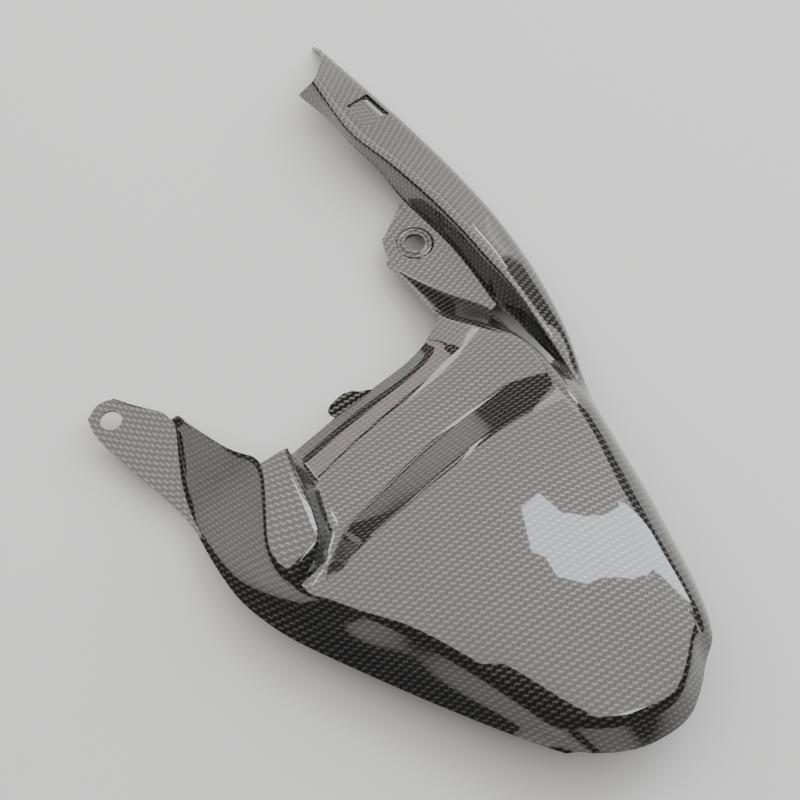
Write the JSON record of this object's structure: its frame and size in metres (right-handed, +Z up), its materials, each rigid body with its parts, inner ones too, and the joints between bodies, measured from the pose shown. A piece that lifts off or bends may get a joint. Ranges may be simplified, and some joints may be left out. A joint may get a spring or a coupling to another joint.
{
  "type": "motorcycle rear fender",
  "caption": "Carbon-fibre rear hugger for a motorcycle, one moulded shell with a chain guard, a bracket arm on each side and two mounting bores.",
  "frame": {"origin": "the middle of the left mounting bore", "axes": "+X to the chain-guard side, +Y forwards along the chain guard, +Z up away from the tyre and along the bores"},
  "size_m": [0.3008, 0.4988, 0.0708],
  "materials": {
    "carbon": "clear-coated plain-weave carbon fibre"
  },
  "bodies": {
    "root": {"fender_shell": "carbon"}
  },
  "joints": []
}
